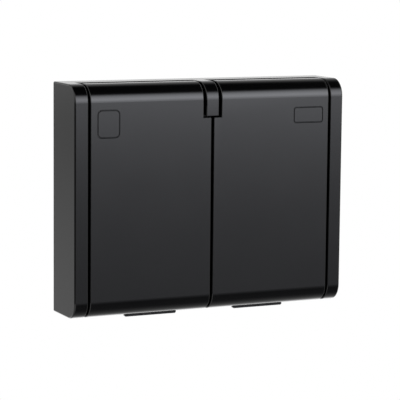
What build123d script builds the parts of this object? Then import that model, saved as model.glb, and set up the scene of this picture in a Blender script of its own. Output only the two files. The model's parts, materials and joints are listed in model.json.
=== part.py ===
"""Two-gang outdoor socket for flush wall boxes, with two sprung lids.

The wall is the plane y = 0, the front faces -y, and z is up. The origin is the middle of the
four wall-box screws, on the back of the mounting plate. All sizes are in millimetres.
"""

import os
from math import cos, hypot, radians, sin

from build123d import *

os.makedirs("parts", exist_ok=True)

# Cover outside
width = 150.0
height = 117.6
depth = 29.4  # wall to the front of the lids
edge_radius = 9.0  # top and bottom front edges
side_edge_radius = 0.8
gap_edge_radius = 0.4  # edges along the gaps round the lids
wall = 2.4
strip_width = 7.2  # side strips beside the lids
cheek = 2.0  # inner wall of a side strip
face_setback = 7.0  # front of the lids to the face behind them
face_thickness = 2.0
collar_wall = 2.4  # raised rings round the wells that the lid seals press on
collar_height = 2.2
drain_fall = 0.8  # slope of the hinge trough towards the front

# Lids
lid_wall = 2.4
lid_skirt = 1.8  # side walls of a lid
lid_side_gap = 1.2
lid_centre_gap = 1.3
lid_skirt_clearance = 0.5  # skirts to the face
lid_flange_reach = 9.5  # the bottom flange runs this far back from the front
sill_gap = 0.7
finger_tab_width = 28.6
finger_tab_place = 30.5  # from the middle of the cover
finger_tab_drop = 1.2
finger_tab_thickness = 1.6
finger_tab_corner = 0.9
seal_thickness = 2.2
seal_width = 3.0
seal_rib = 1.4  # ribs that hold a lid seal
seal_rib_height = 1.2
seal_rib_clearance = 0.2

# Hinges
barrel_radius = 5.0
hinge_setback = 11.4  # front of the lids to the hinge axis
trough_clearance = 0.6
trough_lead = 0.9  # chamfer on the strip behind the lids
hinge_tab_width = 6.9
hinge_tab_drop = 17.0
hinge_tab_side_gap = 1.65
hinge_tab_lower_gap = 1.1
pin_radius = 1.5
pin_clearance = 0.05
pin_end_gap = 0.5
pin_snap = 0.4  # how much narrower than the pin its rear slots are
coil_wire = 0.7
coil_turns = 6
coil_pitch = 0.64  # neighbouring turns are pressed together
coil_clearance = 0.25  # coil to pin
coil_pocket_gap = 0.7
coil_place = 29.0  # from the middle of the cover
leg_radius = 0.3
leg_gap = 0.3

# Plug wells
well_shift = 1.875  # middle of a lid to its well's axis
well_radius = 20.2
well_wall = 2.2
well_depth = 17.5
well_rim_setback = 5.4  # front of the lids to the rim
well_floor = 2.0
well_clearance = 0.3
well_flange_width = 3.0
well_flange_thickness = 1.6
well_gasket_thickness = 0.8
pin_spacing = 19.0
pin_hole_radius = 2.6
pin_hole_lead = 0.6
guide_rib_width = 5.0
guide_rib_height = 2.6
guide_rib_below_rim = 2.0
earth_slot_clearance = 0.3
earth_slot_below_rim = 6.5
earth_slot_depth = 1.0  # how far an earth slot cuts into the floor
well_mouth_radius = 0.8
screw_boss_radius = 5.0

# Shutters
shutter_thickness = 1.9
shutter_play = 0.15
shutter_bore_clearance = 0.1
shutter_hub_wall = 1.8
shutter_wing_radius = 13.0
shutter_wing_half_angle = 20.0
shutter_ramp = 1.2
shutter_turn = 42.0
stop_radius = 0.8
stop_place = 11.5
stop_angle = 6.0  # wing edge to the middle of a stop
leaf_thickness = 0.3
leaf_height = 1.5
leaf_touch_radius = 11.5
leaf_touch_angle = 2.3  # wing edge to the end of the leaf
leaf_anchor_angle = 46.0
leaf_gap = 0.5
leaf_bow = 2.0

# Contacts and their base
base_wall = 2.4
base_clearance = 0.4
base_rim_overlap = 1.0
contact_front_wall = 2.0
contact_radius = 3.3
contact_bore = 2.45
contact_slot = 0.8
contact_slot_depth = 10.0
contact_length = 15.0
contact_clearance = 0.2
terminal_length = 8.0
terminal_width = 8.0
terminal_depth = 9.0
terminal_reach = 2.5  # contact axis to the near side of its terminal
wire_hole_radius = 1.6
terminal_screw_radius = 1.3
terminal_screw_depth = 4.5  # screw axis in front of the terminal's back face
terminal_end_wall = 1.5
terminal_head_radius = 2.2
terminal_head_height = 1.8
terminal_head_gap = 0.2
thread_clearance = 0.05
driver_hole_clearance = 0.4
terminal_cover_thickness = 2.0
terminal_cover_inset = 0.3
wire_entry_radius = 2.2
cover_peg_radius = 1.2
cover_peg_length = 3.0
cover_peg_clearance = 0.15
cover_peg_x = 12.0
cover_peg_z = 14.0
strap_thickness = 0.8
strap_width = 6.0
strap_reach = 21.0  # well axis to the middle of an earth clip's arm
strap_bend = 1.6
clip_nose = 3.0  # how far a clip's nose stands in from its arm
clip_tip_below_rim = 7.5
clip_tip_flare = 1.6
clip_lead = 3.0
clip_slope = 5.5
strap_groove_clearance = 0.05
earth_terminal_place = 15.0
earth_terminal_width = 7.0

# Fasteners
centre_screw_radius = 1.5
centre_screw_length = 9.0
centre_head_radius = 3.0
centre_head_height = 1.8
screw_hole_clearance = 0.3
screw_end_gap = 0.4
head_clearance = 0.25
cover_screw_radius = 1.6
cover_screw_length = 16.0
cover_head_radius = 3.2
cover_head_height = 2.2
cover_boss_radius = 4.2
cover_boss_end = 12.0  # wall to where a cover boss meets the plate's post
cover_screw_inset = 6.3  # side of the lids' bay to a cover screw
cover_screw_upper = 18.5  # top of the cover to the upper screws
cover_screw_lower = 13.5  # bottom of the cover to the lower screws
insert_screw_radius = 1.2
insert_screw_length = 4.6
insert_head_radius = 2.4
insert_head_height = 1.6
ear_radius = 4.0
ear_thickness = 2.0
ear_reach = 3.4  # side of a contact base to the middle of an ear
ear_angle = 45.0

# Mounting plate and its seal
plate_thickness = 3.2
plate_clearance = 0.4
box_screw_spacing = 60.0
box_slot_radius = 2.1
box_slot_length = 8.0
gasket_width = 4.0
gasket_thickness = 2.0
gasket_inset = 1.6  # plate edge to the seal's groove
gasket_clearance = 0.1

tolerance = 0.001
past = 1.0  # how far a cut runs past the skin

# Places that follow from the sizes above
top = height / 2
front_y = -depth
hinge_y = front_y + hinge_setback
hinge_z = top - barrel_radius
trough_radius = barrel_radius + trough_clearance
face_y = front_y + face_setback
face_back_y = face_y + face_thickness
bay_half = width / 2 - strip_width
lid_outer = bay_half - lid_side_gap
lid_inner = lid_centre_gap / 2
socket_pitch = lid_inner + lid_outer + 2 * well_shift
lid_back_y = front_y + lid_wall
skirt_y = face_y - lid_skirt_clearance
flange_y = front_y + lid_flange_reach
sill_y = flange_y + sill_gap
sill_z = -top + lid_wall + sill_gap
notch_half = hinge_tab_width / 2 + hinge_tab_side_gap
notch_z = top - hinge_tab_drop - hinge_tab_lower_gap
notch_swing = hypot(hinge_setback, hinge_z - notch_z)

well_outer = well_radius + well_wall
rim_y = front_y + well_rim_setback
floor_y = rim_y + well_depth
floor_back_y = floor_y + well_floor
well_hole = well_outer + well_clearance
collar_outer = well_hole + collar_wall
collar_y = face_y - collar_height
well_flange_y = face_back_y + well_gasket_thickness
well_flange_radius = well_hole + well_flange_width
seal_middle = (well_hole + collar_outer) / 2

shutter_y = floor_back_y + shutter_play
shutter_back_y = shutter_y + shutter_thickness
base_face_y = shutter_back_y + shutter_play
centre_seat_y = floor_y + centre_head_height + head_clearance
strap_back_y = base_face_y + strap_thickness
groove_y = strap_back_y + strap_groove_clearance
contact_y = base_face_y + contact_front_wall
contact_back_y = contact_y + contact_clearance + contact_length
base_back_y = contact_back_y + contact_clearance
cover_back_y = base_back_y + terminal_cover_thickness
terminal_y = contact_back_y - terminal_depth
terminal_screw_y = contact_back_y - terminal_screw_depth
base_pocket = well_outer + base_clearance
base_radius = base_pocket + base_wall
ear_place = base_radius + ear_reach
ear_web = ear_reach + base_wall / 2
contact_x = pin_spacing / 2
terminal_near = contact_x + terminal_reach
terminal_far = terminal_near + terminal_length
wire_x = terminal_near + terminal_length / 2
earth_far = earth_terminal_place + earth_terminal_width / 2

plate_front_y = -plate_thickness
plate_hole = base_radius + base_clearance
plate_width = width - 2 * (wall + plate_clearance)
plate_height = height - 2 * (wall + plate_clearance)
ear_front_y = plate_front_y - ear_thickness
base_rim_y = min(floor_back_y - base_rim_overlap, ear_front_y)
cover_head_y = face_y + cover_head_height + head_clearance

coil_radius = pin_radius + coil_clearance + coil_wire / 2
coil_outer = coil_radius + coil_wire / 2
coil_length = (coil_turns - 1) * coil_pitch + coil_wire

sides = {"left": -1, "right": 1}
well_axes = [side * socket_pitch / 2 for side in sides.values()]
wells = [(x, 0) for x in well_axes]
cover_screw_x = bay_half - cover_screw_inset
cover_screw_z = (top - cover_screw_upper, -top + cover_screw_lower)
cover_screws = [(side * cover_screw_x, z) for side in sides.values() for z in cover_screw_z]


def facing(y):
    """Plane at depth y that faces the front: its x is X, its y is Z."""
    return Plane.XZ.offset(-y)


def across(x):
    """Section plane at x: its x is Y, its y is Z."""
    return Plane.YZ.offset(x)


def disc(back, front, radius, *places, mode=Mode.ADD):
    """Round boss or bore from depth back forward to depth front, at each (x, z)."""
    with BuildSketch(facing(back)) as section:
        with Locations(*places):
            Circle(radius)
    extrude(section.sketch, amount=back - front, mode=mode)


def block(back, front, x_ends, z_ends, mode=Mode.ADD):
    """Block or pocket from depth back forward to depth front, between the x and z ends."""
    with BuildSketch(facing(back)) as section:
        with Locations((sum(x_ends) / 2, sum(z_ends) / 2)):
            Rectangle(abs(x_ends[1] - x_ends[0]), abs(z_ends[1] - z_ends[0]))
    extrude(section.sketch, amount=back - front, mode=mode)


def rod(radius, x_ends, y, z, mode=Mode.ADD):
    """Round bar or bore along X at depth y and height z."""
    with BuildSketch(across(min(x_ends))) as section:
        with Locations((y, z)):
            Circle(radius)
    extrude(section.sketch, amount=abs(x_ends[1] - x_ends[0]), mode=mode)


def post(radius, x, y, z_ends, mode=Mode.ADD):
    """Round bar or bore along Z at (x, y)."""
    with BuildSketch(Plane.XY.offset(min(z_ends))) as section:
        with Locations((x, y)):
            Circle(radius)
    extrude(section.sketch, amount=abs(z_ends[1] - z_ends[0]), mode=mode)


def on_skin(point):
    """Whether a point lies on the outer skin: top, bottom, front or a rounded edge."""
    from_edge_y = front_y + edge_radius - point.Y
    from_edge_z = abs(point.Z) - (top - edge_radius)
    if from_edge_y > 0 and from_edge_z > 0:
        return abs(hypot(from_edge_y, from_edge_z) - edge_radius) < tolerance
    return abs(point.Y - front_y) < tolerance or abs(abs(point.Z) - top) < tolerance


def skin_edges(piece, *places):
    """Edges of the outer skin that lie in one of the planes x = place."""

    def chosen(edge):
        middle = edge @ 0.5
        return on_skin(middle) and any(abs(middle.X - x) < tolerance for x in places)

    return piece.edges().filter_by(chosen)


def draw_outline(section, inset=0.0):
    """Draw the cover's side outline, square at the wall and rounded at the front."""
    with Locations((-(depth - inset) / 2, 0)):
        Rectangle(depth - inset, height - 2 * inset)
    fillet(section.vertices().group_by(Axis.X)[0], edge_radius - inset)


def outline_at(x, inset=0.0):
    """The cover's side outline on the section plane at x."""
    with BuildSketch(across(x)) as section:
        draw_outline(section, inset)
    return section.sketch


def face_line(shift):
    """The face's section line from the hinge trough to the sill, moved back by shift."""
    radius = trough_radius + shift
    low = hinge_z - radius
    curve = CenterArc((hinge_y, hinge_z), radius, 0, -90)
    run = Polyline(
        (hinge_y, low),
        (face_y + shift, low - drain_fall),
        (face_y + shift, sill_z + shift),
        (sill_y + shift, sill_z + shift),
    )
    return curve, run


def polar(centre_x, radius, angle):
    """Place (x, z) at a radius and an angle in degrees round a well's axis."""
    return centre_x + radius * cos(radians(angle)), radius * sin(radians(angle))


def ear_places(*axes):
    """Places (x, z) of the two fixing ears of each contact base, given the x of its well."""
    return [polar(x, ear_place, ear_angle + turn) for x in axes for turn in (0, 180)]


def save(piece, name):
    """Label a finished piece and write it."""
    piece.part.label = name
    export_step(piece.part, f"parts/{name}.step")


def make_cover_frame():
    """Cover: side strips, rear top strip, hinge tab and the face behind the lids."""
    strip_hollow = bay_half + cheek
    tab_half = hinge_tab_width / 2
    tab_core = tab_half - cheek
    trough_back = hinge_y + trough_radius
    with BuildPart() as cover:
        extrude(outline_at(-width / 2), amount=width)
        fillet(skin_edges(cover, -width / 2, width / 2), side_edge_radius)

        # Open bay for the lids
        with BuildSketch(across(-bay_half)):
            with BuildLine():
                curve, run = face_line(0)
                Polyline(
                    run @ 1,
                    (sill_y, -top - past),
                    (front_y - past, -top - past),
                    (front_y - past, top + past),
                    (trough_back + trough_lead, top + past),
                    (trough_back + trough_lead, top),
                    (trough_back, top - trough_lead),
                    curve @ 0,
                )
            make_face()
        extrude(amount=2 * bay_half, mode=Mode.SUBTRACT)
        fillet(skin_edges(cover, -bay_half, bay_half), gap_edge_radius)

        # Hinge tab between the lids
        with BuildSketch(across(-tab_half)) as tab:
            draw_outline(tab)
            with Locations((trough_back + trough_lead, top)):
                Rectangle(
                    depth, hinge_tab_drop, align=(Align.MAX, Align.MAX), mode=Mode.INTERSECT
                )
        extrude(amount=hinge_tab_width)
        fillet(skin_edges(cover, -tab_half, tab_half), gap_edge_radius)

        # Hollow back
        with BuildSketch(across(-width / 2 + wall)):
            with BuildLine():
                curve, run = face_line(face_thickness)
                Polyline(
                    run @ 1,
                    (sill_y + face_thickness, -top + wall),
                    (past, -top + wall),
                    (past, top - wall),
                    (trough_back + face_thickness, top - wall),
                    curve @ 0,
                )
            make_face()
        extrude(amount=width - 2 * wall, mode=Mode.SUBTRACT)
        for x in (strip_hollow, -width / 2 + wall):
            hollow = width / 2 - wall - strip_hollow
            extrude(outline_at(x, wall), amount=hollow, mode=Mode.SUBTRACT)

        # Collars and openings for the wells
        disc(face_y, collar_y, collar_outer, *wells)
        disc(face_back_y, collar_y, well_hole, *wells, mode=Mode.SUBTRACT)

        # Screw bosses
        head_hole = cover_head_radius + head_clearance
        screw_hole = cover_screw_radius + screw_hole_clearance
        disc(-cover_boss_end, face_y + face_thickness / 2, cover_boss_radius, *cover_screws)
        disc(cover_head_y, face_y, head_hole, *cover_screws, mode=Mode.SUBTRACT)
        disc(-cover_boss_end, face_y, screw_hole, *cover_screws, mode=Mode.SUBTRACT)

        # Pin seats, each open to the rear through a slot that the pin snaps past
        slot_back = trough_back + face_thickness + past
        with BuildSketch(across(-tab_core)) as core:
            draw_outline(core, wall)
            with Locations((slot_back, top)):
                core_drop = hinge_tab_drop - wall
                Rectangle(depth, core_drop, align=(Align.MAX, Align.MAX), mode=Mode.INTERSECT)
        extrude(amount=2 * tab_core, mode=Mode.SUBTRACT)
        reach = strip_hollow + pin_end_gap
        rod(pin_radius + pin_clearance, (-reach, reach), hinge_y, hinge_z, mode=Mode.SUBTRACT)
        slot_half = pin_radius - pin_snap / 2
        slot_z = (hinge_z - slot_half, hinge_z + slot_half)
        for side in sides.values():
            for near, far in ((bay_half, strip_hollow), (tab_core, tab_half)):
                block(slot_back, hinge_y, (side * near, side * far), slot_z, mode=Mode.SUBTRACT)
    return cover


def make_mounting_plate():
    """Plate behind the cover, with slots for the wall-box screws and a groove for its seal."""
    with BuildPart() as plate:
        with BuildSketch(facing(0)):
            Rectangle(plate_width, plate_height)
            with Locations(*wells):
                Circle(plate_hole, mode=Mode.SUBTRACT)
            with GridLocations(socket_pitch, box_screw_spacing, 2, 2):
                SlotOverall(box_slot_length, 2 * box_slot_radius, mode=Mode.SUBTRACT)
            with Locations(*ear_places(*well_axes)):
                Circle(insert_screw_radius + thread_clearance, mode=Mode.SUBTRACT)
        extrude(amount=plate_thickness)
        with BuildSketch(facing(0)):
            Rectangle(plate_width - 2 * gasket_inset, plate_height - 2 * gasket_inset)
            inner = 2 * (gasket_inset + gasket_width)
            Rectangle(plate_width - inner, plate_height - inner, mode=Mode.SUBTRACT)
        extrude(amount=gasket_thickness, mode=Mode.SUBTRACT)
        thread = cover_screw_radius + thread_clearance
        thread_end = cover_head_y + cover_screw_length + screw_end_gap
        disc(plate_front_y, -cover_boss_end, cover_boss_radius, *cover_screws)
        disc(thread_end, -cover_boss_end, thread, *cover_screws, mode=Mode.SUBTRACT)
    return plate


def make_wall_gasket():
    """Seal in the groove on the back of the plate."""
    outer = 2 * (gasket_inset + gasket_clearance)
    inner = 2 * (gasket_inset + gasket_width - gasket_clearance)
    with BuildPart() as gasket:
        with BuildSketch(facing(0)):
            Rectangle(plate_width - outer, plate_height - outer)
            Rectangle(plate_width - inner, plate_height - inner, mode=Mode.SUBTRACT)
        extrude(amount=gasket_thickness)
    return gasket


def make_screws(places, seat, head_radius, head_height, radius, length):
    """Like screws that point into the wall, their heads seated at depth seat."""
    with BuildPart() as screws:
        disc(seat, seat - head_height, head_radius, *places)
        disc(seat + length, seat, radius, *places)
    return screws


def make_lid(side):
    """Lid: a shell that wraps over the top and bottom, with a hinge barrel and a finger tab."""
    x_ends = sorted((side * lid_inner, side * lid_outer))
    skirt_top = hinge_z + top - lid_wall
    behind = (Align.MIN, Align.MIN)
    with BuildPart() as lid:
        # Outer form, with the notch round the hinge tab
        with BuildSketch(across(x_ends[0])) as section:
            draw_outline(section)
            with Locations((hinge_y, -top)):
                Rectangle(depth, height, align=behind, mode=Mode.SUBTRACT)
            with Locations((skirt_y, -top + lid_wall)):
                Rectangle(depth, skirt_top, align=behind, mode=Mode.SUBTRACT)
            with Locations((flange_y, -top)):
                Rectangle(depth, lid_wall, align=behind, mode=Mode.SUBTRACT)
        extrude(amount=lid_outer - lid_inner)
        notch = (0, side * notch_half)
        block(0, front_y - past, notch, (notch_z, top + past), mode=Mode.SUBTRACT)
        rod(notch_swing, notch, hinge_y, hinge_z, mode=Mode.SUBTRACT)
        fillet(skin_edges(lid, *x_ends, side * notch_half), gap_edge_radius)

        # Hollow, leaving skirts at the sides and a curved wall round the notch
        near, middle, far = lid_inner + lid_skirt, notch_half + lid_skirt, lid_outer - lid_skirt
        extrude(
            outline_at(min(side * middle, side * far), lid_wall),
            amount=far - middle,
            mode=Mode.SUBTRACT,
        )
        with BuildSketch(across(min(side * near, side * middle))) as section:
            draw_outline(section, lid_wall)
            with Locations((0, hinge_z)):
                beside = (Align.CENTER, Align.MIN)
                Rectangle(2 * depth, height, align=beside, mode=Mode.SUBTRACT)
            with Locations((hinge_y, hinge_z)):
                Circle(notch_swing + lid_wall, mode=Mode.SUBTRACT)
        extrude(amount=middle - near, mode=Mode.SUBTRACT)

        # Hinge barrel, bored for its pin and open below where the spring sits
        bore = pin_radius + pin_clearance
        rod(barrel_radius, (side * notch_half, side * lid_outer), hinge_y, hinge_z)
        rod(bore, (0, side * width / 2), hinge_y, hinge_z, mode=Mode.SUBTRACT)
        pocket_half = coil_length / 2 + coil_pocket_gap
        pocket_x = (side * (coil_place - pocket_half), side * (coil_place + pocket_half))
        pocket_z = (hinge_z - barrel_radius - past, hinge_z)
        pocket_back = hinge_y + barrel_radius + past
        pocket_front = hinge_y - barrel_radius
        rod(coil_outer + coil_pocket_gap, pocket_x, hinge_y, hinge_z, mode=Mode.SUBTRACT)
        block(pocket_back, pocket_front, pocket_x, pocket_z, mode=Mode.SUBTRACT)

        # Ribs that hold the seal
        inner_rib = seal_middle - seal_width / 2 - seal_rib_clearance - seal_rib
        outer_rib = seal_middle + seal_width / 2 + seal_rib_clearance
        for radius in (inner_rib, outer_rib):
            with BuildSketch(facing(lid_back_y + seal_rib_height)):
                with Locations((side * socket_pitch / 2, 0)):
                    Circle(radius + seal_rib)
                    Circle(radius, mode=Mode.SUBTRACT)
            extrude(amount=seal_rib_height + lid_wall / 2)

        # Finger tab
        with BuildSketch(facing(flange_y)) as tab:
            with Locations((side * finger_tab_place, -top + lid_wall / 2)):
                drop = finger_tab_drop + lid_wall / 2
                Rectangle(finger_tab_width, drop, align=(Align.CENTER, Align.MAX))
            fillet(tab.vertices().group_by(Axis.Y)[0], finger_tab_corner)
        extrude(amount=finger_tab_thickness)
    return lid


def make_ring(x, back, thickness, inner, outer):
    """Flat ring round a well's axis."""
    with BuildPart() as ring:
        with BuildSketch(facing(back)):
            with Locations((x, 0)):
                Circle(outer)
                Circle(inner, mode=Mode.SUBTRACT)
        extrude(amount=thickness)
    return ring


def make_hinge_pin(side):
    """Steel pin from the side strip to the hinge tab."""
    with BuildPart() as pin:
        ends = (side * pin_end_gap, side * (bay_half + cheek + pin_end_gap))
        rod(pin_radius, ends, hinge_y, hinge_z)
    return pin


def make_lid_spring(side):
    """Close-wound torsion spring on the pin: one leg under the lid, one on the trough."""
    first = side * coil_place - (coil_turns - 1) / 2 * coil_pitch
    turns = [first + turn * coil_pitch for turn in range(coil_turns)]
    slope = drain_fall / (hinge_y - face_y)
    trough_z = hinge_z - trough_radius - slope * coil_radius
    with BuildPart() as spring:
        with BuildSketch(Plane.XY.offset(hinge_z)):
            with Locations(*[(x, hinge_y + coil_radius) for x in turns]):
                Circle(coil_wire / 2)
        revolve(axis=Axis((0, hinge_y, hinge_z), (1, 0, 0)))
        lid_leg = (turns[0], hinge_z - coil_radius)
        disc(hinge_y, lid_back_y + leg_gap, leg_radius, lid_leg)
        post(leg_radius, turns[-1], hinge_y - coil_radius, (trough_z + leg_gap, hinge_z))
    return spring


def make_socket_insert(x):
    """Plug well with its pin holes, guide ribs, earth slots and central screw boss."""
    pin_holes = [(x - contact_x, 0), (x + contact_x, 0)]
    slot_front = rim_y + earth_slot_below_rim
    slot_half = strap_width / 2 + earth_slot_clearance
    head_hole = centre_head_radius + head_clearance
    rib_root = well_radius + well_wall / 2
    with BuildPart() as insert:
        disc(floor_back_y, rim_y, well_outer, (x, 0))
        disc(well_flange_y + well_flange_thickness, well_flange_y, well_flange_radius, (x, 0))
        disc(base_face_y, floor_back_y, screw_boss_radius, (x, 0))
        disc(floor_y, rim_y, well_radius, (x, 0), mode=Mode.SUBTRACT)
        mouth = insert.edges().filter_by(GeomType.CIRCLE).group_by(Axis.Y)[0]
        fillet(mouth.sort_by(SortBy.RADIUS)[0], well_mouth_radius)
        for way in sides.values():
            rib_x = (x + way * (well_radius - guide_rib_height), x + way * rib_root)
            rib_z = (-guide_rib_width / 2, guide_rib_width / 2)
            near_z = (way * (well_radius - earth_slot_depth), way * (well_outer + past))
            block(floor_y, rim_y + guide_rib_below_rim, rib_x, rib_z)
            slot_x = (x - slot_half, x + slot_half)
            block(floor_back_y, slot_front, slot_x, near_z, mode=Mode.SUBTRACT)
        disc(floor_back_y, floor_y, pin_hole_radius, *pin_holes, mode=Mode.SUBTRACT)
        holes = insert.edges().filter_by(GeomType.CIRCLE).filter_by(
            lambda edge: abs(edge.radius - pin_hole_radius) < tolerance
        )
        chamfer(holes.group_by(Axis.Y)[0], pin_hole_lead)
        screw_hole = centre_screw_radius + screw_hole_clearance
        disc(base_face_y, floor_y, screw_hole, (x, 0), mode=Mode.SUBTRACT)
        disc(centre_seat_y, floor_y, head_hole, (x, 0), mode=Mode.SUBTRACT)
    return insert


def make_shutter(x):
    """Turning shutter: two wings over the pin holes, ramped so that two pins push it round."""
    bore = screw_boss_radius + shutter_bore_clearance
    with BuildPart() as shutter:
        with BuildSketch(facing(shutter_back_y)):
            with Locations((x, 0)):
                Circle(bore + shutter_hub_wall)
            for middle in (0, 180):
                start = middle - shutter_wing_half_angle
                with BuildLine():
                    rim = CenterArc(
                        (x, 0), shutter_wing_radius, start, 2 * shutter_wing_half_angle
                    )
                    Polyline(rim @ 1, (x, 0), rim @ 0)
                make_face()
            with Locations((x, 0)):
                Circle(bore, mode=Mode.SUBTRACT)
        extrude(amount=shutter_thickness)
        ramp_middle = (bore + shutter_hub_wall + shutter_wing_radius) / 2
        ramps = []
        for middle in (0, 180):
            ramp_x, ramp_z = polar(x, ramp_middle, middle - shutter_wing_half_angle)
            near = Vector(ramp_x, shutter_y, ramp_z)
            ramps.append(shutter.edges().filter_by(GeomType.LINE).sort_by_distance(near)[0])
        chamfer(ramps, shutter_ramp)
    return shutter


def make_shutter_spring(x):
    """Leaf spring from the wall of the base's pocket to the edge of a wing."""
    leaf_back_y = (shutter_y + shutter_back_y + leaf_height) / 2
    edge_angle = 180 + shutter_wing_half_angle
    touch = polar(x, leaf_touch_radius, edge_angle + leaf_touch_angle)
    anchor = polar(x, base_pocket - leaf_gap, edge_angle + leaf_anchor_angle)
    with BuildPart() as leaf:
        with BuildSketch(facing(leaf_back_y)):
            with BuildLine():
                SagittaArc(anchor, touch, leaf_bow)
            trace(line_width=leaf_thickness)
        extrude(amount=leaf_height)
    return leaf


def make_contact_base(x):
    """Insulating body: a front pocket for the shutter and chambers open to the rear."""
    contacts = [(x - contact_x, 0), (x + contact_x, 0)]
    pegs = [(x + way * cover_peg_x, cover_peg_z) for way in sides.values()]
    room = contact_clearance
    driver_hole = terminal_head_radius + driver_hole_clearance
    stop_step = stop_angle + shutter_wing_half_angle
    stops = [
        polar(x, stop_place, -stop_step),
        polar(x, stop_place, shutter_turn + stop_step),
    ]
    with BuildPart() as base:
        disc(base_back_y, base_rim_y, base_radius, (x, 0))
        with BuildSketch(facing(plate_front_y)):
            with Locations((x, 0)):
                with PolarLocations(ear_place - ear_web / 2, 2, start_angle=ear_angle):
                    SlotCenterToCenter(ear_web, 2 * ear_radius)
        extrude(amount=ear_thickness)
        disc(base_face_y, base_rim_y, base_pocket, (x, 0), mode=Mode.SUBTRACT)
        ear_hole = insert_screw_radius + screw_hole_clearance
        disc(plate_front_y, ear_front_y, ear_hole, *ear_places(x), mode=Mode.SUBTRACT)

        # Groove for the earth strap, pin ways and the thread of the central screw
        groove_half = strap_width / 2 + room
        groove_z = strap_reach + strap_thickness / 2 + room
        groove_x = (x - groove_half, x + groove_half)
        block(groove_y, base_face_y, groove_x, (-groove_z, groove_z), mode=Mode.SUBTRACT)
        way_radius = pin_hole_radius + screw_hole_clearance
        disc(contact_y, base_face_y, way_radius, *contacts, mode=Mode.SUBTRACT)
        thread_end = centre_seat_y + centre_screw_length + screw_end_gap
        thread = centre_screw_radius + thread_clearance
        disc(thread_end, base_face_y, thread, (x, 0), mode=Mode.SUBTRACT)

        # Chambers for the contacts and terminals, with driver holes to their screws
        disc(base_back_y, contact_y, contact_radius + room, *contacts, mode=Mode.SUBTRACT)
        half = terminal_width / 2 + room
        for way in sides.values():
            chamber = (x + way * (terminal_near - room), x + way * (terminal_far + room))
            driver = (x + way * terminal_far, x + way * (base_radius + past))
            block(base_back_y, terminal_y - room, chamber, (-half, half), mode=Mode.SUBTRACT)
            rod(driver_hole, driver, terminal_screw_y, 0, mode=Mode.SUBTRACT)
        half = earth_terminal_width / 2 + room
        earth_x = (x - half, x + half)
        earth_z = (-earth_terminal_place - half, -earth_terminal_place + half)
        block(base_back_y, strap_back_y - room, earth_x, earth_z, mode=Mode.SUBTRACT)
        driver = (-base_radius - past, -earth_far)
        post(driver_hole, x, terminal_screw_y, driver, mode=Mode.SUBTRACT)

        # Holes for the rear cover's pegs, and stops for the shutter
        peg_hole = cover_peg_radius + cover_peg_clearance
        peg_end = base_back_y - cover_peg_length - cover_peg_clearance
        disc(base_back_y, peg_end, peg_hole, *pegs, mode=Mode.SUBTRACT)
        disc(base_face_y, shutter_y, stop_radius, *stops)
    return base


def make_terminal_cover(x):
    """Rear cover of a contact base, with wire entries and two pegs."""
    pegs = [(x + way * cover_peg_x, cover_peg_z) for way in sides.values()]
    entries = [(x - wire_x, 0), (x + wire_x, 0), (x, -earth_terminal_place)]
    with BuildPart() as cover:
        disc(cover_back_y, base_back_y, base_radius - terminal_cover_inset, (x, 0))
        disc(cover_back_y, base_back_y, wire_entry_radius, *entries, mode=Mode.SUBTRACT)
        disc(base_back_y, base_back_y - cover_peg_length, cover_peg_radius, *pegs)
    return cover


def make_contact(x, way):
    """Slotted contact sleeve with its terminal; way is the side of the well it is on."""
    axis_x = x + way * contact_x
    front = contact_y + contact_clearance
    half = terminal_width / 2
    with BuildPart() as contact:
        disc(contact_back_y, front, contact_radius, (axis_x, 0))
        terminal = (x + way * terminal_near, x + way * terminal_far)
        block(contact_back_y, terminal_y, terminal, (-half, half))
        disc(contact_back_y, front, contact_bore, (axis_x, 0), mode=Mode.SUBTRACT)
        slot = (axis_x - contact_slot / 2, axis_x + contact_slot / 2)
        slot_z = (-contact_radius, contact_radius)
        slot_end = min(front + contact_slot_depth, terminal_y - contact_clearance)
        block(slot_end, front, slot, slot_z, mode=Mode.SUBTRACT)
        wire = (x + way * wire_x, 0)
        wire_end = terminal_y + terminal_end_wall
        disc(contact_back_y, wire_end, wire_hole_radius, wire, mode=Mode.SUBTRACT)
        thread = terminal_screw_radius + thread_clearance
        screw = (x + way * wire_x, x + way * terminal_far)
        rod(thread, screw, terminal_screw_y, 0, mode=Mode.SUBTRACT)
    return contact


def make_earth_clip(x):
    """Earth strap: a bent strip whose two sprung arms stand in the well's earth slots."""
    middle_y = base_face_y + strap_thickness / 2
    tip_y = rim_y + clip_tip_below_rim
    nose_y = tip_y + clip_lead
    shoulder_y = nose_y + clip_slope
    upper = [
        (tip_y, strap_reach - clip_nose + clip_tip_flare),
        (nose_y, strap_reach - clip_nose),
        (shoulder_y, strap_reach),
        (middle_y, strap_reach),
    ]
    lower = [(y, -z) for y, z in reversed(upper)]
    with BuildPart() as clip:
        with BuildSketch(across(x)):
            with BuildLine():
                FilletPolyline(*upper, *lower, radius=strap_bend)
            trace(line_width=strap_thickness)
        extrude(amount=strap_width / 2, both=True)
        screw_hole = centre_screw_radius + screw_hole_clearance
        disc(strap_back_y, base_face_y, screw_hole, (x, 0), mode=Mode.SUBTRACT)
    return clip


def make_earth_terminal(x):
    """Brass pillar on the back of the earth strap that clamps the earth wire."""
    half = earth_terminal_width / 2
    ends_z = (-earth_far, -earth_terminal_place + half)
    with BuildPart() as terminal:
        block(contact_back_y, strap_back_y, (x - half, x + half), ends_z)
        wire = (x, -earth_terminal_place)
        wire_end = terminal_y + terminal_end_wall
        disc(contact_back_y, wire_end, wire_hole_radius, wire, mode=Mode.SUBTRACT)
        thread = terminal_screw_radius + thread_clearance
        screw = (-earth_far, -earth_terminal_place)
        post(thread, x, terminal_screw_y, screw, mode=Mode.SUBTRACT)
    return terminal


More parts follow.
